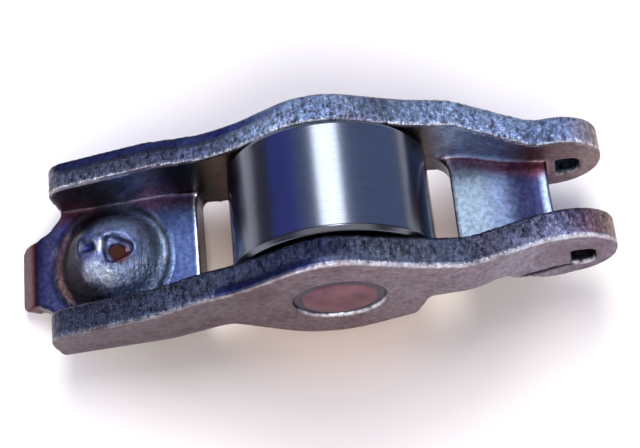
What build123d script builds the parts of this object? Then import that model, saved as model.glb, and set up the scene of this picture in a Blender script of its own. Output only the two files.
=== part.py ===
from build123d import *
import os
from math import asin, atan2, cos, degrees, floor, hypot, pi, radians, sin, sqrt, tan

# A roller finger follower: the rocker arm of an overhead-cam engine, pressed from one piece
# of thick sheet steel, with a roller that turns on needles about a pin staked into its sides.
#
# All sizes are in millimetres. The arm is drawn in a frame of its own: the roller's axis is
# the origin, X runs from the pivot end to the valve end, and Z points up at the camshaft.
# That frame is then leaned by the angle at which the loose arm lies on a table, where it
# touches at the roller and at the tip of its tongue.

# Sheet
sheet = 2.65
bend_inner_radius = 0.65

# Roller, needles and pin
roller_diameter = 17.5
roller_width = 10.0
roller_chamfer = 0.42
needle_diameter = 1.7
needle_side_gap = 0.35
needle_spacing = 0.04
needle_end_round = 0.25
pin_share = 16 / 35
pin_stake_width = 0.8
pin_stake_depth = 0.3
race_clearance = 0.04
roller_side_gap = 0.12
pin_inset = 0.04
pin_bore_chamfer = 0.15
race_chamfer = 0.3

# Socket at the pivot end, pressed up into a dome over the head of the pivot post
pivot_reach = 20.4
socket_radius = 3.2
socket_mouth_chamfer = 0.7
dome_wall = 1.5
dome_foot_radius = 1.2
dome_sink = 1.5
dome_to_cheek = 0.35
dome_to_fillet = 0.05
oil_offset_angle = 16.5
oil_pocket_radius = 2.5
oil_pocket_corner = 0.85
oil_pocket_depth = 0.9
oil_pocket_taper = 24
oil_pocket_turn = 3
oil_hole_diameter = 1.3

# Floor of the pivot end and its tongue
floor_top = -1.8
pivot_tail = 4.8
back_window_gap = 3.6
back_window_corner = 0.9
tongue_sheet = 1.6
tongue_root_half_width = 5.25
tongue_waist = (1.1, 3.85)
tongue_half_width = 3.15
tongue_length = 2.5
tongue_bend_angle = 42
lip_length = 2.4
lip_corner = 0.9

# Pad over the valve stem, and the ears that keep the stem under it
web_top = -2.65
front_window_gap = 1.75
front_window_corner = 1.8
web_end = 19.2
web_end_hollow = 0.35
pad_crown = 0.3
ridge_height = 0.28
ridge_width = 0.9
ridge_rise = 3.4
ridge_fall = 0.2
web_overrun = 0.4
pad_start_x = 12.2
ear_gap = 6.0
ear_reach = 19.55
ear_radius = 4.2
ear_axis_drop = 3.8
ear_end_share = 0.985

# Window and slit that the press leaves in each ear
ear_window_back = 19.75
ear_window_front = 21.85
ear_window_top = -3.0
ear_window_bottom = -6.15
ear_window_round = 1.05
slit_width = 0.2
slit_depth = 1.3
slit_knee = (17.4, -5.75)
strip_start = (14.3, -3.7)
slit_closed = 0.5
strip_lag = 1.0

# Side outline of the cheeks
tail_top = 2.6
tail_round = 2.2
tail_foot_round = 0.9
back_shoulder = (-7.85, 4.92)
back_shoulder_radius = 16
boss_peak = (0.3, 8.97)
boss_top_radius = 6.5
front_shoulder = (8.0, 4.25)
front_shoulder_radius = 20
ear_root_x = 18.2
ear_root_radius = 2.0
ear_flare_top_x = 15.9
ear_flare_foot_x = 17.9
ear_flare_radius = 1.6
boss_heel = (5.81, -6.45)
boss_heel_radius = 0.9
boss_front_foot_x = 6.33
boss_keel = (-2.63, -8.9)
boss_bottom_radius = 7.9
boss_back_foot_x = -7.14

# Where the cheeks step sideways, seen from above
pocket_step = (-15.3, -10.9)
pocket_step_radius = 9
ear_step = (11.4, 18.0)
ear_step_radius = 8

# Sizes worked out from the ones above
roller_radius = roller_diameter / 2
pin_radius = roller_radius * pin_share
needle_radius = needle_diameter / 2
needle_pitch_radius = pin_radius + race_clearance + needle_radius
needle_share = (needle_radius + needle_spacing / 2) / needle_pitch_radius
needle_count = floor(pi / asin(needle_share))
needle_length = roller_width - 2 * needle_side_gap
race_radius = needle_pitch_radius + needle_radius + race_clearance
bend_outer_radius = bend_inner_radius + sheet
floor_bottom = floor_top - sheet
web_bottom = web_top - sheet
cheek_inner = roller_width / 2 + roller_side_gap
cheek_outer = cheek_inner + sheet
dome_radius = socket_radius + dome_wall
dome_foot_rise = dome_foot_radius + dome_sink
dome_foot = sqrt((dome_radius + dome_foot_radius) ** 2 - dome_foot_rise**2)
dome_share = dome_radius / (dome_radius + dome_foot_radius)
pocket_inner = dome_foot + dome_to_cheek
pocket_fillet = dome_to_cheek - dome_to_fillet
ear_inner = ear_gap / 2
tail_x = -(pivot_reach + pivot_tail)
floor_end_x = -(roller_radius + back_window_gap)
web_start_x = roller_radius + front_window_gap
ear_top = ear_radius - ear_axis_drop
ear_bottom = -ear_radius - ear_axis_drop
ear_tip_x = ear_reach + ear_radius
overrun = 3 * roller_diameter

# Tongue, in side view: the flat turns down into the lip at a bend
bend_sin = sin(radians(tongue_bend_angle))
bend_cos = cos(radians(tongue_bend_angle))
bend_tan = tan(radians(tongue_bend_angle / 2))
tongue_bend = (tail_x - tongue_length, floor_top)
lip_end = (tongue_bend[0] - lip_length * bend_cos, tongue_bend[1] - lip_length * bend_sin)
lip_tip = (lip_end[0] + tongue_sheet * bend_sin, lip_end[1] - tongue_sheet * bend_cos)
tongue_inner_bend = (tongue_bend[0] + tongue_sheet * bend_tan, floor_top - tongue_sheet)

# The lean brings the lip's tip down to the level of the roller's lowest line
tip_distance = hypot(*lip_tip)
rest_lean = degrees(asin(roller_radius / tip_distance) - atan2(-lip_tip[1], -lip_tip[0]))
lean = Location((0, 0, 0), (0, -rest_lean, 0))


def leaned(plane):
    """A plane of the arm's own frame, carried along by the lean."""
    return Plane(lean * plane.location)


def corner(inset, height):
    """Plane across the start of a cheek's line at a height: x points outwards and y up."""
    start = (-overrun, pocket_inner + sheet - inset, height)
    return leaned(Plane(origin=start, x_dir=(0, 1, 0), z_dir=(1, 0, 0)))


def cheek_line(inset, lag=0, hand=1):
    """Line of one cheek seen from above, at a distance inside its outer face.

    A lag moves the step in towards the ears further along, and a hand of -1 is the other cheek.
    """
    pocket = (pocket_inner + sheet - inset) * hand
    middle = (cheek_outer - inset) * hand
    ear = (ear_inner + sheet - inset) * hand
    return FilletPolyline(
        (-overrun, pocket),
        (pocket_step[0], pocket),
        (pocket_step[1], middle),
        (ear_step[0] + lag, middle),
        (ear_step[1] + lag, ear),
        (overrun, ear),
        radius=[pocket_step_radius, pocket_step_radius, ear_step_radius, ear_step_radius],
    )


def on_line(start, finish, height):
    """Point at a height on the straight line through two points of the side view."""
    share = (height - start[1]) / (finish[1] - start[1])
    return (start[0] + share * (finish[0] - start[0]), height)


os.makedirs("parts", exist_ok=True)
plan = leaned(Plane.XY)
side = leaned(Plane.XZ)

# The side view of the whole arm, without its tongue
outline = [
    ((tail_x, tail_top), tail_round),
    (back_shoulder, back_shoulder_radius),
    (boss_peak, boss_top_radius),
    (front_shoulder, front_shoulder_radius),
    ((ear_root_x, ear_top), ear_root_radius),
    ((ear_tip_x, ear_top), ear_radius * ear_end_share),
    ((ear_tip_x, ear_bottom), ear_radius * ear_end_share),
    ((ear_flare_foot_x, ear_bottom), ear_flare_radius),
    ((ear_flare_top_x, web_bottom), bend_inner_radius),
    ((boss_front_foot_x, web_bottom), bend_inner_radius),
    (boss_heel, boss_heel_radius),
    (boss_keel, boss_bottom_radius),
    ((boss_back_foot_x, floor_bottom), bend_inner_radius),
    ((tail_x, floor_bottom), tail_foot_round),
]
with BuildSketch(side) as side_view:
    with BuildLine():
        FilletPolyline(*[p for p, r in outline], radius=[r for p, r in outline], close=True)
    make_face()

# The cheeks: their band in plan, cut to the side view
with BuildPart() as cheeks:
    with BuildSketch(plan):
        with BuildLine():
            outer = cheek_line(0)
            inner = cheek_line(sheet)
            Line(outer @ 0, inner @ 0)
            Line(outer @ 1, inner @ 1)
        make_face()
        mirror(about=Plane.XZ)
    extrude(amount=overrun, both=True)
    extrude(side_view.sketch, amount=overrun, both=True, mode=Mode.INTERSECT)

# What is open between the cheeks: the roller's window, and all that lies past the web's hollow end
window_back_half = (pocket_inner + cheek_inner) / 2
with BuildSketch(plan) as gaps:
    with BuildLine():
        Polyline(
            (floor_end_x, window_back_half),
            (web_start_x, cheek_inner),
            (web_start_x, -cheek_inner),
            (floor_end_x, -window_back_half),
            close=True,
        )
    make_face()
    fillet(gaps.vertices().group_by(Axis.X)[0], radius=back_window_corner)
    fillet(gaps.vertices().group_by(Axis.X)[-1], radius=front_window_corner)
    with BuildLine():
        hollow = ThreePointArc(
            (web_end, ear_inner + sheet / 2),
            (web_end - web_end_hollow, 0),
            (web_end, -ear_inner - sheet / 2),
        )
        Polyline(
            hollow @ 1,
            (web_end, -cheek_outer),
            (overrun, -cheek_outer),
            (overrun, cheek_outer),
            (web_end, cheek_outer),
            hollow @ 0,
        )
    make_face()
    with BuildLine():
        left = cheek_line(sheet)
        right = cheek_line(sheet, hand=-1)
        Line(left @ 0, right @ 0)
        Line(left @ 1, right @ 1)
    make_face(mode=Mode.INTERSECT)

# The floor of the pivot end and the web over the valve, with the ridge along its free edge
ridge_x = web_end - ridge_width
with BuildPart() as plates:
    with BuildSketch(plan):
        with BuildLine():
            left = cheek_line(sheet / 2)
            right = cheek_line(sheet / 2, hand=-1)
            Line(left @ 0, right @ 0)
            Line(left @ 1, right @ 1)
        make_face()
    extrude(amount=overrun, both=True)
    with BuildSketch(side):
        with BuildLine():
            Polyline(
                (tail_x, floor_top),
                (floor_end_x + back_window_corner, floor_top),
                (floor_end_x + back_window_corner, floor_bottom),
                (tail_x, floor_bottom),
                close=True,
            )
        make_face()
        with BuildLine():
            Line((web_start_x - front_window_corner, web_top), (ridge_x - ridge_rise, web_top))
            Spline(
                (ridge_x - ridge_rise, web_top),
                (ridge_x, web_top + ridge_height),
                tangents=[(1, 0), (1, 0)],
            )
            Spline(
                (ridge_x, web_top + ridge_height),
                (web_end + web_overrun, web_top + ridge_height - ridge_fall),
                tangents=[(1, 0), (1, -0.3)],
            )
            Polyline(
                (web_end + web_overrun, web_top + ridge_height - ridge_fall),
                (web_end + web_overrun, web_bottom),
                (web_start_x - front_window_corner, web_bottom),
                (web_start_x - front_window_corner, web_top),
            )
        make_face()
    extrude(amount=overrun, both=True, mode=Mode.INTERSECT)
    extrude(side_view.sketch, amount=overrun, both=True, mode=Mode.INTERSECT)

# The underside of the web is crowned where the valve stem rides on it
crown_end_x = web_end + web_overrun
with BuildPart() as crown:
    with BuildSketch(plan):
        with BuildLine():
            left = cheek_line(sheet)
            right = cheek_line(sheet, hand=-1)
            Line(left @ 0, right @ 0)
            Line(left @ 1, right @ 1)
        make_face()
    extrude(amount=overrun, both=True)
    with BuildSketch(side):
        with BuildLine():
            crown_arc = ThreePointArc(
                (pad_start_x, web_bottom),
                ((pad_start_x + crown_end_x) / 2, web_bottom - pad_crown),
                (crown_end_x, web_bottom),
            )
            Polyline(crown_arc @ 1, (crown_end_x, web_top), (pad_start_x, web_top), crown_arc @ 0)
        make_face()
    extrude(amount=overrun, both=True, mode=Mode.INTERSECT)

# Inside radius of the bends, along the foot of each cheek
with BuildPart() as back_fillets:
    with BuildLine(leaned(Plane.XY.offset(floor_top))) as foot_line:
        cheek_line(sheet)
    with BuildSketch(corner(sheet, floor_top)):
        with Locations((-pocket_fillet / 2, pocket_fillet / 2)):
            Rectangle(pocket_fillet, pocket_fillet)
        with Locations((-pocket_fillet, pocket_fillet)):
            Circle(pocket_fillet, mode=Mode.SUBTRACT)
    sweep(path=foot_line.line)
    mirror(about=Plane.XZ)
    with BuildSketch(side):
        with Locations(((tail_x + floor_end_x + back_window_corner) / 2, floor_top)):
            Rectangle(floor_end_x + back_window_corner - tail_x, sheet)
    extrude(amount=overrun, both=True, mode=Mode.INTERSECT)
with BuildPart() as front_fillets:
    with BuildLine(leaned(Plane.XY.offset(web_top))) as foot_line:
        cheek_line(sheet)
    with BuildSketch(corner(sheet, web_top)):
        with Locations((-bend_inner_radius / 2, bend_inner_radius / 2)):
            Rectangle(bend_inner_radius, bend_inner_radius)
        with Locations((-bend_inner_radius, bend_inner_radius)):
            Circle(bend_inner_radius, mode=Mode.SUBTRACT)
    sweep(path=foot_line.line)
    mirror(about=Plane.XZ)
    with BuildSketch(side):
        with Locations(((web_start_x - front_window_corner + ridge_x) / 2, web_top)):
            Rectangle(ridge_x - web_start_x + front_window_corner, sheet)
    extrude(amount=overrun, both=True, mode=Mode.INTERSECT)

# What the outside radius of the bends takes off the lower edges of the cheeks
back_flank = (boss_keel, (boss_back_foot_x, floor_bottom))
with BuildPart() as back_bends:
    with BuildLine(leaned(Plane.XY.offset(floor_bottom))) as foot_line:
        cheek_line(0)
    with BuildSketch(corner(0, floor_bottom)):
        Rectangle(2 * bend_outer_radius, 2 * bend_outer_radius)
        with Locations((-bend_outer_radius, bend_outer_radius)):
            Circle(bend_outer_radius, mode=Mode.SUBTRACT)
    sweep(path=foot_line.line)
    mirror(about=Plane.XZ)
    with BuildSketch(side):
        with BuildLine():
            Polyline(
                (-overrun, floor_bottom - sheet),
                (-overrun, floor_top + sheet),
                on_line(*back_flank, floor_top + sheet),
                on_line(*back_flank, floor_bottom - sheet),
                close=True,
            )
        make_face()
    extrude(amount=overrun, both=True, mode=Mode.INTERSECT)
front_flank = (boss_heel, (boss_front_foot_x, web_bottom))
bend_fade = (strip_start, (ear_flare_top_x, web_bottom))
with BuildPart() as front_bends:
    with BuildLine(leaned(Plane.XY.offset(web_bottom))) as foot_line:
        cheek_line(0)
    with BuildSketch(corner(0, web_bottom)):
        Rectangle(2 * bend_outer_radius, 2 * bend_outer_radius)
        with Locations((-bend_outer_radius, bend_outer_radius)):
            Circle(bend_outer_radius, mode=Mode.SUBTRACT)
    sweep(path=foot_line.line)
    mirror(about=Plane.XZ)
    with BuildSketch(side):
        with BuildLine():
            Polyline(
                on_line(*front_flank, web_bottom - sheet),
                on_line(*front_flank, web_top + sheet),
                on_line(*bend_fade, web_top + sheet),
                on_line(*bend_fade, web_bottom - sheet),
                close=True,
            )
        make_face()
    extrude(amount=overrun, both=True, mode=Mode.INTERSECT)

# The slit that runs from the ear's window along the top of its foot
slit_start = (ear_window_back + slit_width, ear_window_bottom)
slit_end = on_line(strip_start, slit_knee, strip_start[1] - slit_closed)
with BuildPart() as slits:
    with BuildSketch(plan):
        with BuildLine():
            outer = cheek_line(-sheet)
            inner = cheek_line(slit_depth)
            Line(outer @ 0, inner @ 0)
            Line(outer @ 1, inner @ 1)
        make_face()
        mirror(about=Plane.XZ)
    extrude(amount=overrun, both=True)
    with BuildSketch(side):
        with BuildLine():
            Polyline(
                slit_end,
                slit_knee,
                slit_start,
                (slit_start[0], slit_start[1] + slit_width),
                (slit_knee[0], slit_knee[1] + slit_width),
                close=True,
            )
        make_face()
    extrude(amount=overrun, both=True, mode=Mode.INTERSECT)

# The strip under the slit, which the press left standing a little further out
with BuildPart() as strips:
    with BuildSketch(plan):
        with BuildLine():
            outer = cheek_line(0, strip_lag)
            inner = cheek_line(slit_depth)
            Line(outer @ 0, inner @ 0)
            Line(outer @ 1, inner @ 1)
        make_face()
        mirror(about=Plane.XZ)
    extrude(amount=overrun, both=True)
    with BuildSketch(side):
        with BuildLine():
            Polyline(
                strip_start,
                slit_knee,
                slit_start,
                (ear_window_front, ear_window_bottom),
                (ear_window_front, ear_bottom),
                (ear_flare_foot_x, ear_bottom),
                (ear_flare_top_x, web_bottom),
                close=True,
            )
        make_face()
    extrude(amount=overrun, both=True, mode=Mode.INTERSECT)
    extrude(side_view.sketch, amount=overrun, both=True, mode=Mode.INTERSECT)

# The tongue behind the pivot: it narrows from the floor and its lip turns down
with BuildPart() as tongue:
    with BuildSketch(side):
        with BuildLine():
            over = FilletPolyline(
                (tail_x + tongue_sheet, floor_top),
                tongue_bend,
                lip_end,
                radius=bend_inner_radius + tongue_sheet,
            )
            under = FilletPolyline(
                (tail_x + tongue_sheet, floor_top - tongue_sheet),
                tongue_inner_bend,
                lip_tip,
                radius=bend_inner_radius,
            )
            Line(over @ 0, under @ 0)
            Line(over @ 1, under @ 1)
        make_face()
    extrude(amount=overrun, both=True)
    with BuildSketch(plan):
        with BuildLine():
            edge_line = FilletPolyline(
                (tail_x + tongue_sheet, tongue_root_half_width),
                (tail_x, tongue_root_half_width),
                (tail_x - tongue_waist[0], tongue_waist[1]),
                (tongue_bend[0], tongue_half_width),
                (-overrun, tongue_half_width),
                radius=bend_inner_radius,
            )
            Line(edge_line @ 0, (tail_x + tongue_sheet, 0))
            Line((tail_x + tongue_sheet, 0), (-overrun, 0))
            Line((-overrun, 0), edge_line @ 1)
        make_face()
        mirror(about=Plane.XZ)
    extrude(amount=overrun, both=True, mode=Mode.INTERSECT)
    end_across = leaned(Plane(origin=(0, 0, 0), z_dir=(bend_sin, 0, -bend_cos)))
    lip_corners = tongue.edges().filter_by(Axis((0, 0, 0), end_across.z_dir)).group_by(Axis.X)[0]
    fillet(lip_corners, radius=lip_corner)

# The dome over the pivot, with the socket under it and the oil pocket near its crown
pivot = leaned(Plane(origin=(-pivot_reach, 0, 0)))
pivot_side = leaned(Plane(origin=(-pivot_reach, 0, 0), x_dir=(1, 0, 0), z_dir=(0, -1, 0)))
pivot_axis = Axis(pivot.origin, pivot.z_dir)
sphere_z = floor_top - dome_sink
dome_break = (dome_foot * dome_share, sphere_z + dome_foot_rise * dome_share)
foot_centre = (dome_foot, floor_top + dome_foot_radius)
with BuildPart() as dome:
    with BuildSketch(pivot_side):
        with BuildLine():
            crest_angle = degrees(atan2(dome_break[1] - sphere_z, dome_break[0]))
            CenterArc((0, sphere_z), dome_radius, crest_angle, 90 - crest_angle)
            CenterArc(foot_centre, dome_foot_radius, -90, crest_angle - 90)
            Polyline(
                (dome_foot, floor_top),
                (dome_foot, floor_bottom),
                (0, floor_bottom),
                (0, sphere_z + dome_radius),
            )
        make_face()
    revolve(axis=pivot_axis)
with BuildPart() as socket:
    with BuildSketch(pivot_side):
        with BuildLine():
            CenterArc((0, sphere_z), socket_radius, 0, 90)
            Polyline(
                (socket_radius, sphere_z),
                (socket_radius, floor_bottom + socket_mouth_chamfer),
                (socket_radius + socket_mouth_chamfer, floor_bottom),
                (socket_radius + socket_mouth_chamfer, floor_bottom - sheet),
                (0, floor_bottom - sheet),
                (0, sphere_z + socket_radius),
            )
        make_face()
    revolve(axis=pivot_axis)
oil_sin = sin(radians(oil_offset_angle))
oil_cos = cos(radians(oil_offset_angle))
oil_point = (dome_radius * oil_sin - pivot_reach, 0, sphere_z + dome_radius * oil_cos)
oil_plane = leaned(Plane(origin=oil_point, x_dir=(oil_cos, 0, -oil_sin), z_dir=(-oil_sin, 0, -oil_cos)))
with BuildPart() as oil_cut:
    with BuildSketch(oil_plane) as oil_pocket:
        RegularPolygon(radius=oil_pocket_radius, side_count=3, rotation=-oil_pocket_turn)
        fillet(oil_pocket.vertices(), radius=oil_pocket_corner)
    extrude(amount=oil_pocket_depth, taper=oil_pocket_taper)
    with BuildSketch(oil_plane):
        Circle(oil_hole_diameter / 2)
    extrude(amount=dome_wall + socket_radius / 2)

# The arm itself, pressed from one piece of sheet
with BuildPart() as arm_body:
    add(cheeks.part)
    add(plates.part)
    add(crown.part)
    add(back_fillets.part)
    add(front_fillets.part)
    extrude(gaps.sketch, amount=overrun, both=True, mode=Mode.SUBTRACT)
    add(back_bends.part, mode=Mode.SUBTRACT)
    add(front_bends.part, mode=Mode.SUBTRACT)
    add(slits.part, mode=Mode.SUBTRACT)
    add(strips.part)
    add(tongue.part)
    add(dome.part)
    add(socket.part, mode=Mode.SUBTRACT)
    add(oil_cut.part, mode=Mode.SUBTRACT)
    with BuildSketch(side):
        with Locations(
            (
                (ear_window_back + ear_window_front) / 2,
                (ear_window_top + ear_window_bottom) / 2,
            )
        ):
            ear_window = Rectangle(
                ear_window_front - ear_window_back,
                ear_window_top - ear_window_bottom,
            )
        fillet(ear_window.vertices().group_by(Axis.X)[-1], radius=ear_window_round)
        Circle(pin_radius)
    extrude(amount=overrun, both=True, mode=Mode.SUBTRACT)
    bore_rims = (
        arm_body.edges()
        .filter_by(GeomType.CIRCLE)
        .filter_by(lambda edge: abs(edge.radius - pin_radius) < pin_inset)
        .filter_by(lambda edge: abs(abs(edge.center().Y) - cheek_outer) < pin_inset)
    )
    chamfer(bore_rims, length=pin_bore_chamfer)
arm_body.part.label = "arm_body"
export_step(arm_body.part, "parts/arm_body.step")

# The pin, staked into both cheeks: its rim is driven down round the middle of each end
pin_half_length = cheek_outer - pin_inset
with BuildPart() as roller_pin:
    with BuildSketch(side):
        Circle(pin_radius)
    extrude(amount=pin_half_length, both=True)
    chamfer(
        roller_pin.edges().filter_by(GeomType.CIRCLE),
        length=pin_stake_depth,
        length2=pin_stake_width,
    )
roller_pin.part.label = "roller_pin"
export_step(roller_pin.part, "parts/roller_pin.step")

# The roller that the cam runs on
with BuildPart() as roller:
    with BuildSketch(side):
        Circle(roller_radius)
        Circle(race_radius, mode=Mode.SUBTRACT)
    extrude(amount=roller_width / 2, both=True)
    rims = roller.edges().filter_by(GeomType.CIRCLE).sort_by(SortBy.RADIUS)
    chamfer(rims[:2], length=race_chamfer)
    chamfer(rims[-2:], length=roller_chamfer)
roller.part.label = "roller"
export_step(roller.part, "parts/roller.step")

# A full row of needles between the pin and the roller
for number in range(needle_count):
    turn = 2 * pi * number / needle_count
    with BuildPart() as needle:
        with BuildSketch(side):
            with Locations((needle_pitch_radius * cos(turn), needle_pitch_radius * sin(turn))):
                Circle(needle_radius)
        extrude(amount=needle_length / 2, both=True)
        fillet(needle.edges().filter_by(GeomType.CIRCLE), radius=needle_end_round)
    needle.part.label = f"needle_{number + 1:02d}"
    export_step(needle.part, f"parts/needle_{number + 1:02d}.step")
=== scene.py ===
from math import cos, pi, radians, sin, tan
import bpy
import bmesh
import numpy as np
from mathutils import Euler, Matrix, Vector


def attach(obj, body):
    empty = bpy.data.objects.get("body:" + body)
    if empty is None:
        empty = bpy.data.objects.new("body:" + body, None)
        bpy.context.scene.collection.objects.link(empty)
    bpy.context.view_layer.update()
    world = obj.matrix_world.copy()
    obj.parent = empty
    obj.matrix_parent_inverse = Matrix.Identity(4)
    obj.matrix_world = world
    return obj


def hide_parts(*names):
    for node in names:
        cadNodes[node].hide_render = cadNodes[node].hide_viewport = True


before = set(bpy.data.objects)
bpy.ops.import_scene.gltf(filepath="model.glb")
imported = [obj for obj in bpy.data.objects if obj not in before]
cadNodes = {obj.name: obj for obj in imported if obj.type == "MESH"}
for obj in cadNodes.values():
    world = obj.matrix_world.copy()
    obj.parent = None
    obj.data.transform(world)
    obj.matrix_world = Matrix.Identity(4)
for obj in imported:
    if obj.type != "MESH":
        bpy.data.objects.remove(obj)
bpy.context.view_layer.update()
mm = 0.001
print("frame loaded:", len(cadNodes), "nodes")

# The arm lies on a table, leaned about the roller's axis
armLean = radians(8.5122)


def toArm(points):  # turns points of the row frame back into the arm's own frame
    x, y, z = points.T
    return np.stack([x * cos(armLean) + z * sin(armLean), y, z * cos(armLean) - x * sin(armLean)], 1)


def toRow(points):  # turns points of the arm's own frame into the row frame
    x, y, z = points.T
    return np.stack([x * cos(armLean) - z * sin(armLean), y, z * cos(armLean) + x * sin(armLean)], 1)


def newObject(name, data):
    made = bpy.data.objects.new(name, data)
    bpy.context.scene.collection.objects.link(made)
    return made


# Camera, at the photograph's angle
cameraSetup = {
    "place": (-0.696, -49.357, 113.330),  # mm
    "turn": (23.133, 2.522, -5.497),  # degrees
    "lens": 80.21,  # mm, on a sensor of the next width
    "sensor": 36,
    "clipStart": 5,  # mm
}
cameraData = bpy.data.cameras.new("photoCamera")
cameraData.lens = cameraSetup["lens"]
cameraData.sensor_width = cameraSetup["sensor"]
cameraData.clip_start = cameraSetup["clipStart"] * mm
camera = newObject("photoCamera", cameraData)
camera.location = Vector(cameraSetup["place"]) * mm
camera.rotation_euler = Euler([radians(a) for a in cameraSetup["turn"]])
bpy.context.scene.camera = camera


# Small helpers for shader nodes
def addNode(tree, kind, inputs=None, **settings):
    node = tree.nodes.new(kind)
    for name, value in settings.items():
        setattr(node, name, value)
    for name, value in (inputs or {}).items():
        if isinstance(value, bpy.types.NodeSocket):
            tree.links.new(value, node.inputs[name])
        else:
            node.inputs[name].default_value = value
    return node


def rgb(r, g, b):  # screen colour 0-255 to the linear colour that a shader takes
    c = np.array([r, g, b]) / 255
    linear = np.where(c <= 0.04045, c / 12.92, ((c + 0.055) / 1.055) ** 2.4)
    return (*[float(v) for v in linear], 1.0)


def ramp(tree, factor, stops):  # colour ramp from stops, each a place and a colour or a grey
    node = addNode(tree, "ShaderNodeValToRGB", {"Fac": factor})
    elements = node.color_ramp.elements
    while len(elements) < len(stops):
        elements.new(0.5)
    for element, (position, colour) in zip(elements, stops):
        element.position = position
        element.color = colour if isinstance(colour, tuple) else (colour, colour, colour, 1)
    return node.outputs["Color"]


def noise(tree, place, size, detail=3.0, rough=0.55, warp=0.0):  # size is the grain in mm
    node = addNode(tree, "ShaderNodeTexNoise", {"Vector": place, "Scale": 1 / (size * mm),
                   "Detail": detail, "Roughness": rough, "Distortion": warp})
    return node.outputs["Fac"]


def stretched(tree, place, scale):
    return addNode(tree, "ShaderNodeMapping", {"Vector": place, "Scale": scale}).outputs["Vector"]


def fromRange(tree, distance, low, high):  # 0 below low mm, 1 above high mm
    node = addNode(tree, "ShaderNodeMapRange", {"Value": distance, "From Min": low * mm, "From Max": high * mm})
    return node.outputs["Result"]


def mixed(tree, factor, a, b, blend="MIX"):  # mixes two colours
    node = addNode(tree, "ShaderNodeMix", {0: factor, 6: a, 7: b}, data_type="RGBA", blend_type=blend)
    return node.outputs[2]


def sums(tree, kind, *values):  # one arithmetic step
    return addNode(tree, "ShaderNodeMath", dict(enumerate(values)), operation=kind).outputs[0]


def straight(tree, value, slope, start):  # a straight line: value times slope, plus start
    return sums(tree, "MULTIPLY_ADD", value, slope, start)


def attribute(tree, name, output="Fac"):
    return addNode(tree, "ShaderNodeAttribute", attribute_name=name).outputs[output]


def newMaterial(name, metallic):
    material = bpy.data.materials.new(name)
    material.use_nodes = True
    tree = material.node_tree
    shader = tree.nodes["Principled BSDF"]
    shader.inputs["Metallic"].default_value = metallic
    where = addNode(tree, "ShaderNodeTexCoord").outputs["Object"]
    turned = addNode(tree, "ShaderNodeMapping", {"Vector": where, "Rotation": (0, armLean, 0)})
    return material, tree, shader, turned.outputs["Vector"]  # the last are places in the arm's own frame


def setInputs(tree, shader, **sockets):  # links sockets to the shader's inputs, with _ for each space in a name
    for name, socket in sockets.items():
        tree.links.new(socket, shader.inputs[name.replace("_", " ")])


def bumped(tree, height, depth=1.0, strength=1.0):  # depth in metres
    node = addNode(tree, "ShaderNodeBump", {"Height": height, "Distance": depth, "Strength": strength})
    return node.outputs["Normal"]


# Small helpers for meshes
def newMesh(name, points, faces, material):
    mesh = bpy.data.meshes.new(name)
    mesh.from_pydata(points.tolist(), [], faces.tolist())
    mesh.materials.append(material)
    return mesh


def finishMesh(mesh):
    mesh.polygons.foreach_set("use_smooth", [True] * len(mesh.polygons))
    mesh.update()


def newPiece(name, points, faces, material, body, replaced):
    mesh = newMesh(name, points, faces, material)
    finishMesh(mesh)
    piece = newObject(name, mesh)
    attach(piece, body)
    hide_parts(*replaced)


def spun(profile, count):
    # carries a closed profile of (radius, y) points round the Y axis, in count equal steps
    turn = np.linspace(0, 2 * pi, count, endpoint=False)[:, None]
    radius, along = np.asarray(profile, float).T
    grid = np.stack([radius * np.sin(turn), along + 0 * turn, radius * np.cos(turn)], 2) * mm
    rows, columns = grid.shape[:2]
    at = np.arange(rows * columns).reshape(rows, columns)
    ahead = np.roll(at, -1, 0)
    faces = np.stack([at, np.roll(at, -1, 1), np.roll(ahead, -1, 1), ahead], 2)
    return grid.reshape(-1, 3), faces.reshape(-1, 4)


def lattice(seed, cells):  # one fixed random value for each whole cell of space
    mixedCells = (cells * np.array([73856093, 19349663, 83492791])).sum(-1) ^ (seed * 2654435761)
    mixedCells = (mixedCells ^ (mixedCells >> 13)) * 1274126177 & 0x7FFFFFFF
    return ((mixedCells ^ (mixedCells >> 16)) % 10007) / 10007


def grain(points, size, seed, least=0.0, most=1.0):
    # smooth noise from least to most: fixed values at whole cells of the given size in mm, eased between them
    place = points / size
    cell = np.floor(place).astype(np.int64)
    part = place - cell
    part = part * part * (3 - 2 * part)
    total = np.zeros(len(points))
    for corner in range(8):
        step = np.array([corner & 1, corner >> 1 & 1, corner >> 2 & 1])
        weight = np.where(step, part, 1 - part).prod(1)
        total += weight * lattice(seed, cell + step)
    return least + (most - least) * total


def rise(value, low, high):  # 0 below low, 1 above high, eased between
    t = np.clip((value - low) / (high - low), 0, 1)
    return t * t * (3 - 2 * t)


def fall(value, low, high):  # 1 below low, 0 above high, eased between
    return 1 - rise(value, low, high)


def between(value, start, end):  # 1 between two eased edges, each a low and a high value
    return rise(value, *start) * fall(value, *end)


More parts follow.
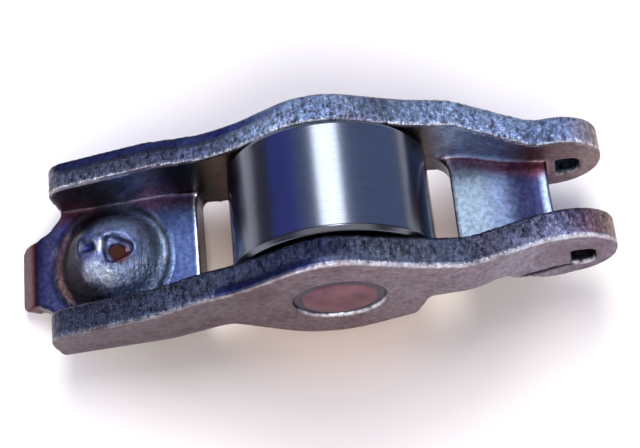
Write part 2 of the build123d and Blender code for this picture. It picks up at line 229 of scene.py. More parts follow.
# The arm: the CAD solid's own surface with its edges rounded, its rims torn and its faces hammered.
# Lengths here are mm in the arm's own frame.
armSkin = {
    "weld": 1e-4,
    "cell": 0.19,  # spacing of the new surface
    "smoothing": 14,  # double passes that round the edges
    "passIn": 0.55,  # share of the way to the mean of the neighbours
    "passOut": 0.57,
    "stepsInside": ([-15.3, -10.9, 11.4, 18.0], [5.6, 5.12, 5.12, 3.0]),  # cheek's inner face in plan
    "sheet": 2.65,
    "slitLine": [(14.9, -4.15), (17.4, -5.65), (20.0, -6.07)],  # side view of the slit under each ear's window
    "slitFill": 0.16,  # half the filler's height
    "slitCorners": ((0.4, -1), (0.99, -1), (0.99, 1), (0.4, 1)),  # in the sheet's thickness and half heights
    "stripEdge": [(17.4, -5.75), (14.3, -3.7), (15.9, -5.3), (17.9, -8)],  # side view of the strip's thin end
    "stripNear": (0.5, 1.0),  # how far the extra smoothing reaches from that edge
    "stripOut": (3.9, 4.4),  # and where it begins, from the arm's middle
    "stripSmoothing": 16,
    "stripPass": 0.5,
}
print("arm: surface")
source = bpy.data.meshes.new("armSource")
work = bmesh.new()
work.from_mesh(cadNodes["arm_body"].data)
bmesh.ops.remove_doubles(work, verts=work.verts, dist=armSkin["weld"] * mm)
for side in (-1, 1):  # the slit is finer than the new surface: it is filled here, and drawn again below
    stations = []
    for x, z in armSkin["slitLine"]:
        face = np.interp(x, *armSkin["stepsInside"])
        ring = [(x, side * (face + armSkin["sheet"] * share), z + lift * armSkin["slitFill"])
                for share, lift in armSkin["slitCorners"]]
        stations.append([work.verts.new(corner * mm) for corner in toRow(np.array(ring))])
    caps = [stations[0], stations[-1][::-1]]
    sides = [(a[k], b[k], b[(k + 1) % 4], a[(k + 1) % 4]) for a, b in zip(stations, stations[1:]) for k in range(4)]
    for corners in caps + sides:
        work.faces.new(corners if side < 0 else corners[::-1])
work.to_mesh(source)
work.free()
resurfaced, solid = newObject("armSource", source), newObject("armSolid", source)
remesh = resurfaced.modifiers.new("even", "REMESH")
remesh.mode = "VOXEL"
remesh.voxel_size = armSkin["cell"] * mm
settle = resurfaced.modifiers.new("settle", "SHRINKWRAP")
settle.target = solid
settle.wrap_method = "NEAREST_SURFACEPOINT"
depsgraph = bpy.context.evaluated_depsgraph_get()
skin = bpy.data.meshes.new_from_object(resurfaced.evaluated_get(depsgraph))
bpy.data.objects.remove(resurfaced)
bpy.data.objects.remove(solid)
skin.name = "arm"
count = len(skin.vertices)
points = np.zeros(count * 3)
skin.vertices.foreach_get("co", points)
points = points.reshape(-1, 3) / mm
ends = np.zeros(len(skin.edges) * 2, np.int64)
skin.edges.foreach_get("vertices", ends)
ends = ends.reshape(-1, 2)
both = np.concatenate([ends, ends[:, ::-1]])
degree = np.bincount(both[:, 0], minlength=count)


def toNeighbours(values):  # from each vertex's value to the mean of its neighbours'
    totals = [np.bincount(both[:, 0], values[both[:, 1], k], count) for k in range(values.shape[1])]
    return np.stack(totals, 1) / degree[:, None] - values


def fromLine(where, start, finish):  # distance of each point from a stretch of line in the arm's side view
    start, run = np.array(start), np.array(finish) - np.array(start)
    offset = where[:, [0, 2]] - start
    share = np.clip((offset @ run) / (run @ run), 0, 1)
    return np.linalg.norm(offset - share[:, None] * run, axis=1)


def fromPath(where, corners):
    return np.min([fromLine(where, start, finish) for start, finish in zip(corners, corners[1:])], 0)


for turn in range(armSkin["smoothing"]):  # one pass in, one pass out, so that nothing shrinks
    points += armSkin["passIn"] * toNeighbours(points)
    points -= armSkin["passOut"] * toNeighbours(points)
inArm = toArm(points)
loose = fall(fromPath(inArm, armSkin["stripEdge"]), *armSkin["stripNear"])
loose *= rise(np.abs(inArm[:, 1]), *armSkin["stripOut"])
for turn in range(armSkin["stripSmoothing"]):  # the step at the strip's thin end is also finer than the surface
    points += armSkin["stripPass"] * loose[:, None] * toNeighbours(points)
skin.vertices.foreach_set("co", (points * mm).ravel())
skin.update()
normals = np.zeros(count * 3)
skin.vertices.foreach_get("normal", normals)
normals = normals.reshape(-1, 3)

# Zones of the arm, each a weight from 0 to 1 at every vertex. A pair says where a zone's edge begins and ends:
# in mm, in the sheet's thickness ("Across", "cheek") or in the part of a normal that points one way ("Turn", "Up").
# Each grain, here and below, has its size in mm, its seed, its least and its most.
armZones = {
    "cheek": (-0.05, 0.1),
    "faceTurn": (0.45, 0.75),
    "outerAcross": (0.6, 0.8),
    "innerAcross": ((-0.2, -0.08), (0.3, 0.5)),
    "pivot": -20.4,  # its place along the arm
    "dome": (5.5, 5.9),
    "domeFoot": (-1.95, -1.75),
    "slit": (0.08, 0.24),  # from the line along its middle
    "slitStart": (14.9, 16.0),
    "windowX": ((19.45, 19.65), (22.1, 22.4)),
    "windowZ": ((-6.6, -6.4), (-2.8, -2.6)),
    "windowTurn": (0.5, 0.8),
    "plateUp": (0.2, 0.6),  # the floor and the web
    "reflectionBandInside": (-2.0, -0.7),  # from the far cheek's inner face, for the painted reflection of the cheek in the floor and web at its foot
    "reflectionBandUp": (0.1, 0.4),
    "lip": (-27.6, -27.3),
    "endTurn": (0.5, 0.8),  # the cheeks' end faces, beside the tongue, which are painted in shade
    "endX": (-25.0, -24.4),
    "pressedAcross": (0.5, 0.72),  # the part of each rim that the punch pressed smooth
    "pressedNear": ([-14, -9, 0, 3], [0.1, 0.9, 0.9, 0.3]),  # along the near rim, and along the far one
    "pressedFar": ([-6, 0], [1.0, 0.2]),
    "domeTorn": (0.15, 0.5),  # least, and what the near side adds
    "domeTornY": (0.0, 1.5),
    "satinOuter": 0.75,
    "satinDome": 0.3,
    "satinInner": 0.5,
    "satinInnerX": 9,
    "highlightAcross": ((-0.06, 0.0), (0.05, 0.17)),  # edges painted with a bright highlight, where they catch the light
    "highlightUp": (0.15, 0.5),
    "highlightNear": ([-24, -8, 0, 20], [0.25, 0.35, 0.9, 0.9]),  # along the near rim, and along the far one
    "highlightFar": ([-24, -10, 6], [0.8, 0.9, 1.0]),
    "highlightGrain": (0.5, 21, 0.55, 1.45),
    "floorLipHighlight": (-12.42, (0.12, 0.3)),  # painted highlight on the floor's end edge: its place along the arm, and how far it reaches
    "webLipHighlight": (10.6, (0.1, 0.25)),
    "webLipHighlightShare": 0.45,
    "lipHighlightUp": (0.2, 0.5),
    "lipHighlightGrain": (0.6, 23, 0.4, 1.2),
    "dentMiddle": (-21.65, 0.5, 1.2),  # beside the oil pocket
    "dentGrain": (0.7, 41, -0.3, 0.3),
}
inArm = toArm(points)
x, y, z = inArm.T
facingX, facingY, facingUp = toArm(normals).T
innerFace = np.interp(x, *armSkin["stepsInside"])
across = (np.abs(y) - innerFace) / armSkin["sheet"]  # 0 at a cheek's inner face, 1 at its outer face
outward = facingY * np.sign(y)
inCheek = rise(across, *armZones["cheek"])
rim = inCheek * fall(np.abs(outward), *armZones["faceTurn"])
outer = rise(outward, *armZones["faceTurn"]) * rise(across, *armZones["outerAcross"])
inner = rise(-outward, *armZones["faceTurn"]) * between(across, *armZones["innerAcross"])
fromPivot = np.hypot(x - armZones["pivot"], y)
dome = fall(fromPivot, *armZones["dome"]) * rise(z, *armZones["domeFoot"])
fromDent = np.linalg.norm(inArm - np.array(armZones["dentMiddle"]), axis=1) + grain(inArm, *armZones["dentGrain"])
# painted highlight along the near rim's outer edge and the far rim's inner edge
edgeHighlight = between(np.where(y < 0, 1 - across, across), *armZones["highlightAcross"])
edgeHighlight *= rise(facingUp, *armZones["highlightUp"]) * inCheek * grain(inArm, *armZones["highlightGrain"])
edgeHighlight *= np.where(y < 0, np.interp(x, *armZones["highlightNear"]), np.interp(x, *armZones["highlightFar"]))
# painted highlights on the end edges of the floor and the web
lipPlaces = armZones["floorLipHighlight"], armZones["webLipHighlight"]
floorLipHighlight, webLipHighlight = (fall(np.abs(x - middle), *reach) for middle, reach in lipPlaces)
lipHighlights = (floorLipHighlight + armZones["webLipHighlightShare"] * webLipHighlight) * (1 - inCheek) * rise(facingUp, *armZones["lipHighlightUp"])
edgeHighlight = np.clip(edgeHighlight + lipHighlights * grain(inArm, *armZones["lipHighlightGrain"]), 0, 1)
# the slit and the ears' windows, which are painted in shade below
slit = fall(fromPath(inArm, armSkin["slitLine"]), *armZones["slit"]) * outer * rise(x, *armZones["slitStart"])
inWindow = between(x, *armZones["windowX"]) * between(z, *armZones["windowZ"])
inWindow *= inCheek * fall(np.abs(outward), *armZones["windowTurn"])
shadedRecess = np.maximum(slit, inWindow)
plate = rise(facingUp, *armZones["plateUp"]) * (1 - inCheek)
# painted reflection and shade of the far cheek, in the floor and web beside its foot
wallReflectionBand = (1 - inCheek) * rise(y - innerFace, *armZones["reflectionBandInside"]) * rise(facingUp, *armZones["reflectionBandUp"])
endFace = rise(-facingX, *armZones["endTurn"]) * fall(x, *armZones["endX"]) * inCheek
pressed = np.where(y < 0, np.interp(x, *armZones["pressedNear"]), np.interp(x, *armZones["pressedFar"]))
torn = rim * (1 - rise(across, *armZones["pressedAcross"]) * pressed)  # the sheared part of each rim
domeLeast, domeMore = armZones["domeTorn"]
torn = np.maximum(torn, dome * (domeLeast + domeMore * rise(-y, *armZones["domeTornY"])))
satin = armZones["satinOuter"] * outer + armZones["satinDome"] * dome  # where the steel is dull
satin = np.clip(satin + armZones["satinInner"] * inner * (x > armZones["satinInnerX"]), 0, 1)

armColours = {
    "zones": {  # screen colours by the arm's length in mm, each covering the ones above it: the steel's tone with painted reflection and shade in it
        "under": [(-25, (96, 96, 108)), (20, (110, 110, 120))],
        "floor": [(-27, (92, 90, 110)), (-25, (94, 98, 124)), (-16, (94, 108, 146)), (-13, (108, 126, 166))],
        # the web: painted shade in its hollow from 16.4 to 18 mm, then a painted highlight on the bead at its end
        "web": [(10, (92, 104, 116)), (12.6, (90, 102, 116)), (14.6, (72, 82, 106)), (16.4, (46, 48, 76)),
                (18, (38, 40, 70)), (18.5, (120, 132, 158)), (18.9, (90, 100, 126))],
        # painted reflection and shade of the far cheek at its foot
        "wallReflectionBand": [(-25, (130, 82, 84)), (-20, (158, 108, 124)), (-13, (132, 116, 146)), (10, (104, 84, 104)),
                 (17, (92, 54, 66))],
        "lip": [(-29.6, (92, 66, 80)), (-28.3, (90, 62, 74)), (-27.9, (92, 50, 50)), (-27.4, (80, 56, 68))],
        # the inner faces: painted shade from -13.4 to -11 mm, a painted bright blue reflection from 11.5 to 15 mm
        "innerFace": [(-25, (90, 82, 92)), (-16, (156, 164, 192)), (-13.4, (32, 30, 34)), (-11, (24, 22, 24)),
                      (-9, (96, 80, 74)), (9, (112, 106, 110)), (11.5, (176, 206, 250)), (15, (156, 182, 230)),
                      (17.5, (124, 96, 106)), (23, (136, 116, 116))],
        # the outer faces: their pink is a painted reflection of the warm paper in front
        "outer": [(-25, (104, 91, 98)), (-8, (113, 98, 105)), (8, (137, 124, 134)), (16, (146, 139, 154)),
                  (22, (122, 107, 122))],
        # the near rim is painted darker, in shade, and the far rim lighter, with a painted highlight
        "rimNear": [(-25, (62, 68, 86)), (-10, (68, 74, 92)), (-5, (54, 60, 84)), (0, (58, 64, 88)), (5, (90, 96, 110)),
                    (10, (86, 94, 110)), (16, (104, 106, 124)), (19.5, (128, 128, 154)), (21.3, (112, 90, 106)),
                    (23.4, (126, 96, 88))],
        "rimFar": [(-25, (82, 88, 104)), (-8, (88, 98, 122)), (-4, (140, 162, 190)), (2, (148, 168, 196)),
                   (6, (106, 118, 140)), (12, (152, 172, 198)), (21, (140, 154, 186)), (23.5, (136, 120, 116))],
    },
    "pocket": (-19.1, 0),  # the oil pocket in plan: the dome's colours run by mm from it
    "change": (-2.0, 2.0),  # from the dome's lit right side to its shaded left, by mm from the pivot
    # by mm from the pocket: the left side in painted shade, the right with a painted highlight
    "left": [(0, (96, 104, 140)), (1.5, (112, 124, 168)), (2.6, (120, 132, 170)), (3.4, (78, 80, 104)),
             (4.2, (48, 44, 54)), (6.4, (50, 42, 46))],
    "right": [(0, (96, 104, 140)), (1.5, (116, 128, 164)), (2.4, (160, 176, 204)), (3.4, (124, 140, 164)),
              (4.6, (92, 106, 130)), (6, (98, 112, 140))],
    "speckle": (0.45, 31, 0.35, 1.45),
    "domeHighlights": [  # painted highlights, glints on the dome: middle in plan, reach, colour
        ((-20.75, 0.3), (0.3, 1.0), (232, 240, 252)),
        ((-21.4, -1.7), (0.2, 1.3), (226, 238, 252)),
        ((-20.1, -2.5), (0.2, 1.2), (226, 238, 250)),
        ((-18.9, -2.2), (0.2, 1.3), (160, 178, 204)),
        ((-20.6, 2.0), (0.1, 1.0), (150, 158, 186)),
    ],
    # painted dark blue reflection in the dent's facet: reach and colour
    "dent": ((0.55, 0.85), (50, 62, 112)),
    "oily": ((-18.9, -0.55), (0.7, 1.15), (104, 66, 68)),
    "footShadeLine": (((4.9, 5.15), (5.35, 5.6)), (-20, -17), (22, 26, 36)),  # painted shade in the crease round the dome's foot: ring round the pivot, start along X
    "footReflectionLine": (((4.6, 4.9), (5.1, 5.4)), (-24.6, -24.0), (150, 116, 102)),  # painted brown reflection at the dome's left foot: ring round the pivot, end along X
    "footReflectionShare": 0.8,
    "blotch": (1.4, 51, 0.72, 1.28),  # brightness of the rims, as a grain
    "rimShadingFar": ([0, 0.5, 1], [1.2, 1.0, 0.62]),  # painted shade and highlight across a rim, from the inside out
    "rimShadingNear": ([0, 0.25, 1], [0.7, 1.0, 1.05]),
    # painted shade on the cheeks' end faces
    "endFaceShade": 0.45,
    # painted shade in the slits and the ears' windows
    "recessShade": 0.93,
    # colour of the painted edge highlights
    "edgeHighlight": (236, 238, 246),
}
armWeights = {
    "under": np.ones(count), "floor": plate * (x < 0), "web": plate * (x > 0), "wallReflectionBand": wallReflectionBand,
    "lip": fall(x, *armZones["lip"]), "innerFace": inner, "outer": outer, "rimNear": rim * (y < 0),
    "rimFar": rim * (y > 0),
}


def plain(colour):
    return np.array(rgb(*colour)[:3])


def along(where, stops):  # colour that runs through stops, each a place and a screen colour
    places = [place for place, colour in stops]
    colours = np.array([plain(colour) for place, colour in stops])
    return np.stack([np.interp(where, places, colours[:, k]) for k in range(3)], 1)


def blended(tint, colour, weight):
    return tint + (colour - tint) * weight[:, None]


def fromPoint(middle):  # distance in plan
    return np.hypot(x - middle[0], y - middle[1])


print("arm: colours")
tint = np.zeros((count, 3))
for name, stops in armColours["zones"].items():
    tint = blended(tint, along(x, stops), armWeights[name])
fromPocket = fromPoint(armColours["pocket"])
# painted shade on the dome's left, painted highlight on its right
toShadedLeft = rise(armZones["pivot"] - x, *armColours["change"])
domeTint = blended(along(fromPocket, armColours["right"]), along(fromPocket, armColours["left"]), toShadedLeft)
tint = blended(tint, domeTint, dome)
speckle = np.clip(grain(inArm, *armColours["speckle"]), 0, 1)
# painted highlights, broken up by a grain, then the dent's painted reflection and the marks round the dome's foot
domeMarks = [(fall(fromPoint(middle), *reach) * speckle, colour) for middle, reach, colour in armColours["domeHighlights"]]
# the dent's painted reflection
reach, colour = armColours["dent"]
domeMarks.append((fall(fromDent, *reach), colour))
middle, reach, colour = armColours["oily"]
domeMarks.append((fall(fromPoint(middle), *reach), colour))
ring, start, colour = armColours["footShadeLine"]
domeMarks.append((between(fromPivot, *ring) * rise(x, *start), colour))
# painted brown reflection at the dome's left foot
ring, end, colour = armColours["footReflectionLine"]
domeMarks.append((armColours["footReflectionShare"] * between(fromPivot, *ring) * fall(x, *end), colour))
for weight, colour in domeMarks:
    tint = blended(tint, plain(colour), weight * dome)
# painted shade and highlight across each rim: the far rim darker at its outer edge, the near rim at its inner edge; the
# blotches are the steel's own
slope = np.where(y > 0, np.interp(across, *armColours["rimShadingFar"]), np.interp(across, *armColours["rimShadingNear"]))
shade = 1 + rim * (grain(inArm, *armColours["blotch"]) * slope - 1)
# painted shade on the cheeks' end faces, and in the slits and windows
shade *= (1 - armColours["endFaceShade"] * endFace) * (1 - armColours["recessShade"] * shadedRecess)
# the painted edge highlights go on last
tint = blended(tint * shade[:, None], plain(armColours["edgeHighlight"]), edgeHighlight)

armRelief = {  # mm that the surface moves, with the grain of each part
    "tear": 0.05,
    "tearUp": (-0.2, 0.3),
    "coarseTear": (0.42, 4, -0.5, 0.5),
    "fineTear": (0.21, 5, -0.25, 0.25),
    "streakSqueeze": (1.0, 0.22, 1.0),
    "streak": (0.3, 3, -0.5, 0.5),
    "dimple": 0.012,
    "dimpleGrain": (0.7, 7, -0.5, 0.5),
    "facet": 0.3,
    "facetStart": (0.5, 2.0),
    "facetGrain": (1.7, 11, -0.5, 0.5),
    "dent": 0.5,
    "dentHollow": (0.3, 1.05),
    "bank": 0.12,  # raised round the dent
    "bankRing": ((0.75, 1.15), (1.15, 1.7)),
    "slit": 0.12,
}
tear = grain(inArm, *armRelief["coarseTear"]) + grain(inArm, *armRelief["fineTear"])
tear += grain(inArm * np.array(armRelief["streakSqueeze"]), *armRelief["streak"])
away = armRelief["tear"] * torn * rim * tear * rise(facingUp, *armRelief["tearUp"])
away += armRelief["dimple"] * (1 - rim) * grain(inArm, *armRelief["dimpleGrain"])
away += armRelief["facet"] * dome * rise(fromPivot, *armRelief["facetStart"]) * grain(inArm, *armRelief["facetGrain"])
away -= armRelief["dent"] * fall(fromDent, *armRelief["dentHollow"]) * dome
away += armRelief["bank"] * between(fromDent, *armRelief["bankRing"]) * dome
away -= armRelief["slit"] * slit
points += normals * away[:, None]
skin.vertices.foreach_set("co", (points * mm).ravel())
for name, values in {"torn": torn, "satin": satin, "shadedRecess": shadedRecess}.items():
    layer = skin.attributes.new(name, "FLOAT", "POINT")
    layer.data.foreach_set("value", values.astype(np.float32))
layer = skin.attributes.new("tint", "FLOAT_COLOR", "POINT")
layer.data.foreach_set("color", np.concatenate([tint, np.ones((count, 1))], 1).astype(np.float32).ravel())

print("arm: finish,", len(skin.polygons), "faces")
armFinish = {
    "broad": (4.5, 4),  # noises: grain in mm, detail, roughness, warp
    "fine": (0.45, 5, 0.65),
    "speck": (0.38, 4, 0.75),
    "shear": (0.3, 4, 0.65, 0.6),
    "rust": (1.6, 5, 0.7),
    "shearSqueeze": (1, 0.3, 1),  # draws the lines out across each rim
    "fineStops": [(0.34, 0.0), (0.66, 1.0)],
    "pitStops": [(0.4, 0.0), (0.6, 1.0)],
    "stainStops": [(0.5, 0.0), (0.68, 1.0)],
    "rustStops": [(0.5, 0.0), (0.66, 1.0)],
    "shearShare": 0.45,
    "speckShare": 0.55,
    "greyByFine": (0.7, 0.65),  # straight lines: slope and start
    "pitsByMarks": (1.6, -0.8),
    "rustBySatin": (0.5, 0.3),
    "roughBySatin": (0.24, 0.27),
    "metalBySatin": (-0.4, 1.0),
    "roughByFine": 0.1,
    "roughByTorn": -0.06,
    "roughByRecess": 0.3,
    "stainShare": 0.6,
    "stainColour": (0.62, 0.46, 0.48, 1),
    "rustColour": (0.62, 0.43, 0.42, 1),
    "tornDepth": 0.22,
    "faceDepth": 0.02,
}
armSteel, tree, shader, place = newMaterial("armSteel", 1.0)
torn, satin, shadedRecess = [attribute(tree, name) for name in ("torn", "satin", "shadedRecess")]
fine = noise(tree, place, *armFinish["fine"])
speck = noise(tree, place, *armFinish["speck"])
shear = noise(tree, stretched(tree, place, armFinish["shearSqueeze"]), *armFinish["shear"])
marks = straight(tree, shear, armFinish["shearShare"], sums(tree, "MULTIPLY", speck, armFinish["speckShare"]))
pits = straight(tree, ramp(tree, marks, armFinish["pitStops"]), *armFinish["pitsByMarks"])
grey = straight(tree, ramp(tree, fine, armFinish["fineStops"]), *armFinish["greyByFine"])
light = straight(tree, pits, torn, grey)
colour = addNode(tree, "ShaderNodeVectorMath", {0: attribute(tree, "tint", "Color"), "Scale": light}, operation="SCALE")
stain = ramp(tree, noise(tree, place, *armFinish["broad"]), armFinish["stainStops"])
stain = sums(tree, "MULTIPLY", stain, armFinish["stainShare"])
colour = mixed(tree, stain, colour.outputs[0], armFinish["stainColour"], "MULTIPLY")
rust = ramp(tree, noise(tree, place, *armFinish["rust"]), armFinish["rustStops"])
rust = sums(tree, "MULTIPLY", rust, straight(tree, satin, *armFinish["rustBySatin"]))
colour = mixed(tree, rust, colour, armFinish["rustColour"], "MULTIPLY")
rough = straight(tree, satin, *armFinish["roughBySatin"])
for value, share in ((fine, "roughByFine"), (torn, "roughByTorn"), (shadedRecess, "roughByRecess")):
    rough = straight(tree, value, armFinish[share], rough)
metal = straight(tree, satin, *armFinish["metalBySatin"])
tornDepth = sums(tree, "MULTIPLY", torn, armFinish["tornDepth"] * mm)
height = sums(tree, "MULTIPLY", sums(tree, "ADD", speck, shear), tornDepth)
height = straight(tree, fine, armFinish["faceDepth"] * mm, height)
setInputs(tree, shader, Base_Color=colour, Roughness=rough, Metallic=metal, Normal=bumped(tree, height))
skin.materials.clear()
skin.materials.append(armSteel)
finishMesh(skin)
arm = newObject("armShell", skin)
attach(arm, "arm")
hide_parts("arm_body")

# Roller: a ground and polished ring, with a bright chamfer at each end
print("roller")
rollerSetup = {
    "radius": 8.75,  # mm, as the five below
    "width": 10.0,
    "race": 5.78,
    "chamfer": 0.42,
    "raceChamfer": 0.3,
    "edgeRound": 0.1,
    "steps": 256,
    "turning": (1, 60, 1),  # draws the grinding lines out round the ring
    "lines": (3.0, 4, 0.6),
    "lineStops": [(0.3, 0.0), (0.7, 1.0)],
    "film": (5.0, 3),
    "filmStops": [(0.5, 0.0), (0.75, 0.35)],
    "colours": ((98, 102, 110), (112, 117, 126)),
    "filmColour": (84, 76, 74),
    "rough": (0.1, 0.16),  # slope and start, by the lines
}
rollerSteel, tree, shader, place = newMaterial("rollerSteel", 1.0)
lines = noise(tree, stretched(tree, place, rollerSetup["turning"]), *rollerSetup["lines"])
film = ramp(tree, noise(tree, place, *rollerSetup["film"]), rollerSetup["filmStops"])
dark, bright = (rgb(*colour) for colour in rollerSetup["colours"])
colour = mixed(tree, ramp(tree, lines, rollerSetup["lineStops"]), dark, bright)
colour = mixed(tree, film, colour, rgb(*rollerSetup["filmColour"]))
setInputs(tree, shader, Base_Color=colour, Roughness=straight(tree, lines, *rollerSetup["rough"]))


def rounded(corners, size):
    # each corner of a closed profile becomes five points of a small arc, from size mm before it to size mm after
    # it, with one more point a little further out on each side, so that the flats stay flat
    corners = np.asarray(corners, float)
    before, after = np.roll(corners, 1, 0) - corners, np.roll(corners, -1, 0) - corners
    before /= np.linalg.norm(before, axis=1)[:, None]
    after /= np.linalg.norm(after, axis=1)[:, None]
    share = np.linspace(0, 1, 5)[None, :, None]
    start, end = (corners + before * size)[:, None], (corners + after * size)[:, None]
    middle = corners[:, None]
    curve = start * (1 - share) ** 2 + 2 * middle * share * (1 - share) + end * share ** 2
    curve = np.concatenate([start + before[:, None] * size * 0.5, curve, end + after[:, None] * size * 0.5], 1)
    return curve.reshape(-1, 2)


half, out = rollerSetup["width"] / 2, rollerSetup["radius"]
race, cut, raceCut = rollerSetup["race"], rollerSetup["chamfer"], rollerSetup["raceChamfer"]
ringProfile = rounded([(out, cut - half), (out, half - cut), (out - cut, half), (race + raceCut, half),
                       (race, half - raceCut), (race, raceCut - half), (race + raceCut, -half),
                       (out - cut, -half)], rollerSetup["edgeRound"])
ringPoints, ringFaces = spun(ringProfile, rollerSetup["steps"])
newPiece("rollerRing", ringPoints, ringFaces[:, ::-1], rollerSteel, "roller", ["roller"])

# Pin: staked at both ends; its end face reddish brown in blotches, the reddish brown a painted reflection of the warm
# paper
print("pin")
pinSetup = {
    "half": 7.73,  # mm, half its length
    "end": [  # radius and depth below the tip: the disc, the groove round it and the staked rim
        (0.001, 0), (0.04, 0), (1.92, 0.01), (3.08, 0.02), (3.2, 0.08), (3.35, 0.26), (3.55, 0.3), (3.94, 0.24),
        (3.99, 0.32), (3.99, 0.7),
    ],
    "steps": 160,
    "metallic": 0.75,
    "blot": (2.5, 4, 0.6),
    "blotStops": [(0.35, 0.0), (0.65, 1.0)],
    # reddish brown: a painted reflection of the warm paper
    "colours": ((104, 64, 78), (140, 98, 110)),
    "flatten": (1, 0, 1),  # what is left is the distance from the pin's axis
    "groove": (3.1, 3.3),
    "grooveColour": (88, 82, 94),
    "rough": (0.2, 0.38),
    "bump": (0.6, 4),
    "bumpDepth": 0.02,
    "bumpStrength": 0.5,
}
pinSteel, tree, shader, place = newMaterial("pinSteel", pinSetup["metallic"])
blot = noise(tree, place, *pinSetup["blot"])
dark, bright = (rgb(*colour) for colour in pinSetup["colours"])
colour = mixed(tree, ramp(tree, blot, pinSetup["blotStops"]), dark, bright)
fromAxis = addNode(tree, "ShaderNodeVectorMath", {0: stretched(tree, place, pinSetup["flatten"])}, operation="LENGTH")
groove = fromRange(tree, fromAxis.outputs["Value"], *pinSetup["groove"])
colour = mixed(tree, groove, colour, rgb(*pinSetup["grooveColour"]))
bump = bumped(tree, noise(tree, place, *pinSetup["bump"]), pinSetup["bumpDepth"] * mm, pinSetup["bumpStrength"])
setInputs(tree, shader, Base_Color=colour, Roughness=straight(tree, blot, *pinSetup["rough"]), Normal=bump)
halfProfile = [(radius, pinSetup["half"] - depth) for radius, depth in pinSetup["end"]]
pinProfile = halfProfile + [(radius, -y) for radius, y in halfProfile[::-1]]
pinPoints, pinFaces = spun(pinProfile, pinSetup["steps"])
newPiece("pin", pinPoints, pinFaces, pinSteel, "arm", ["roller_pin"])

# Needles: the CAD rods themselves, ground steel with a little oil
print("needles")
needleSetup = {
    "oil": (1.2, 3),
    "oilStops": [(0.4, 0.0), (0.7, 1.0)],
    "colours": ((168, 170, 176), (120, 112, 104)),
    "rough": (0.15, 0.18),
}
needleSteel, tree, shader, place = newMaterial("needleSteel", 1.0)
oil = noise(tree, place, *needleSetup["oil"])
clean, oily = (rgb(*colour) for colour in needleSetup["colours"])
colour = mixed(tree, ramp(tree, oil, needleSetup["oilStops"]), clean, oily)
setInputs(tree, shader, Base_Color=colour, Roughness=straight(tree, oil, *needleSetup["rough"]))
for name, node in cadNodes.items():
    if name.startswith("needle"):
        node.data.materials.clear()
        node.data.materials.append(needleSteel)

# Floor and lights
print("stage")
stageSetup = {
    "floorZ": -8.75,
    "floorHalf": 1500.0,
    "floorColour": (0.94, 0.87, 0.8, 1),
    "floorRough": 0.9,
    "holeShadowSpot": (-20.1, 3.0, -8.75),  # painted shadow on the paper under the oil hole
    "holeShadowReach": (2, 3.5),
    "holeShadowColour": (0.09, 0.035, 0.03, 1),
    "holeShadowGlow": (0.06, 0.022, 0.018, 1),
    "floorGlow": [  # light that the paper adds, by mm from the roller's centre
        (13, (0.15, 0.085, 0.045, 1)), (17, (0.02, 0.015, 0.01, 1)), (20, (0.03, 0.025, 0.02, 1)),
        (34, (0.36, 0.36, 0.37, 1)),
    ],
    "world": (0.14, 0.14, 0.19, 1),
    "worldStrength": 1.0,
    "distance": 300.0,
    "lamps": [  # name, degrees from straight up towards +X and +Y, width and length in degrees, brightness, colour
        ("stripLamp", 1.5, 23.6, (24, 40), 7.5, (0.95, 0.98, 1.0)),
        ("blueLamp", -51, 23.6, (30, 60), 0.6, (0.04, 0.1, 1.0)),
        ("haloPanel", -23, 23.6, (23, 50), 0.45, (0.25, 0.42, 1.0)),
        ("sidePanel", 50, 23.6, (68, 60), 0.58, (0.33, 0.5, 1.0)),
        ("frontLamp", 5, -38, (12, 20), 15.0, (1.0, 0.96, 0.94)),
        ("frontPanel", 5, -58, (60, 36), 0.8, (1.0, 0.93, 0.92)),
    ],
}
floorMaterial, tree, shader, place = newMaterial("floorPaper", 0.0)
holeShadowSpot = toArm(np.array([stageSetup["holeShadowSpot"]]))[0] * mm
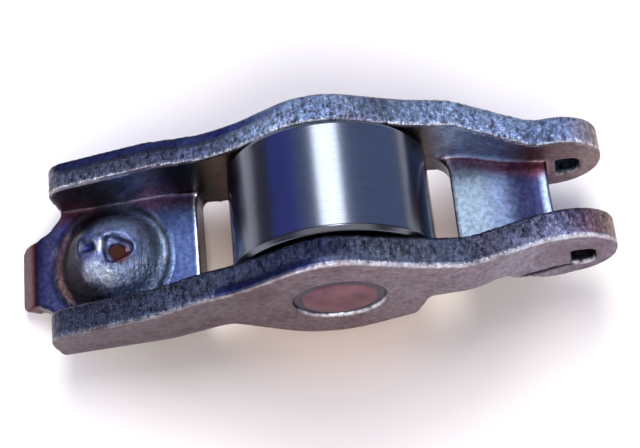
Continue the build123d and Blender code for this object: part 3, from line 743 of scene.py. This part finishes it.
# painted shadow under the oil hole: darker paper, and less of its glow
fromSpot = addNode(tree, "ShaderNodeVectorMath", {0: place, 1: holeShadowSpot}, operation="DISTANCE").outputs["Value"]
outsideHoleShadow = fromRange(tree, fromSpot, *stageSetup["holeShadowReach"])
paper = mixed(tree, outsideHoleShadow, stageSetup["holeShadowColour"], stageSetup["floorColour"])
fromRoller = addNode(tree, "ShaderNodeVectorMath", {0: place}, operation="LENGTH").outputs["Value"]
reachOfGlow = stageSetup["floorGlow"][-1][0]
stops = [(distance / reachOfGlow, glow) for distance, glow in stageSetup["floorGlow"]]
glow = ramp(tree, sums(tree, "DIVIDE", fromRoller, reachOfGlow * mm), stops)
glow = mixed(tree, outsideHoleShadow, stageSetup["holeShadowGlow"], glow)
path = addNode(tree, "ShaderNodeLightPath").outputs  # the paper glows for the eye and in mirrors, but lights nothing
seen = sums(tree, "MAXIMUM", path["Is Glossy Ray"], path["Is Transmission Ray"])
seen = sums(tree, "MAXIMUM", path["Is Camera Ray"], seen)
setInputs(tree, shader, Base_Color=paper, Emission_Color=glow, Emission_Strength=seen)
shader.inputs["Roughness"].default_value = stageSetup["floorRough"]
reach, level = stageSetup["floorHalf"] * mm, stageSetup["floorZ"] * mm
floorCorners = [(-reach, -reach, level), (reach, -reach, level), (reach, reach, level), (-reach, reach, level)]
floorMesh = newMesh("floor", np.array(floorCorners), np.array([(0, 1, 2, 3)]), floorMaterial)
floor = newObject("floor", floorMesh)
for name, overX, overY, spread, brightness, lampColour in stageSetup["lamps"]:
    overX, overY = radians(overX), radians(overY)
    toward = Vector((cos(overY) * sin(overX), sin(overY), cos(overY) * cos(overX)))
    widthAxis = Vector((cos(overX), 0, -sin(overX)))
    lampData = bpy.data.lights.new(name, "AREA")
    lampData.shape = "RECTANGLE"
    lampData.size, lampData.size_y = [2 * stageSetup["distance"] * tan(radians(a / 2)) * mm for a in spread]
    lampData.energy = brightness * pi * lampData.size * lampData.size_y  # brightness as seen in a mirror
    lampData.color = lampColour
    lamp = newObject(name, lampData)
    lamp.location = toward * stageSetup["distance"] * mm
    lamp.rotation_euler = Matrix((widthAxis, toward.cross(widthAxis), toward)).transposed().to_euler()
world = bpy.data.worlds.new("studio")
bpy.context.scene.world = world
world.use_nodes = True
world.node_tree.nodes["Background"].inputs["Color"].default_value = stageSetup["world"]
world.node_tree.nodes["Background"].inputs["Strength"].default_value = stageSetup["worldStrength"]
bpy.context.scene.view_settings.view_transform = "Standard"
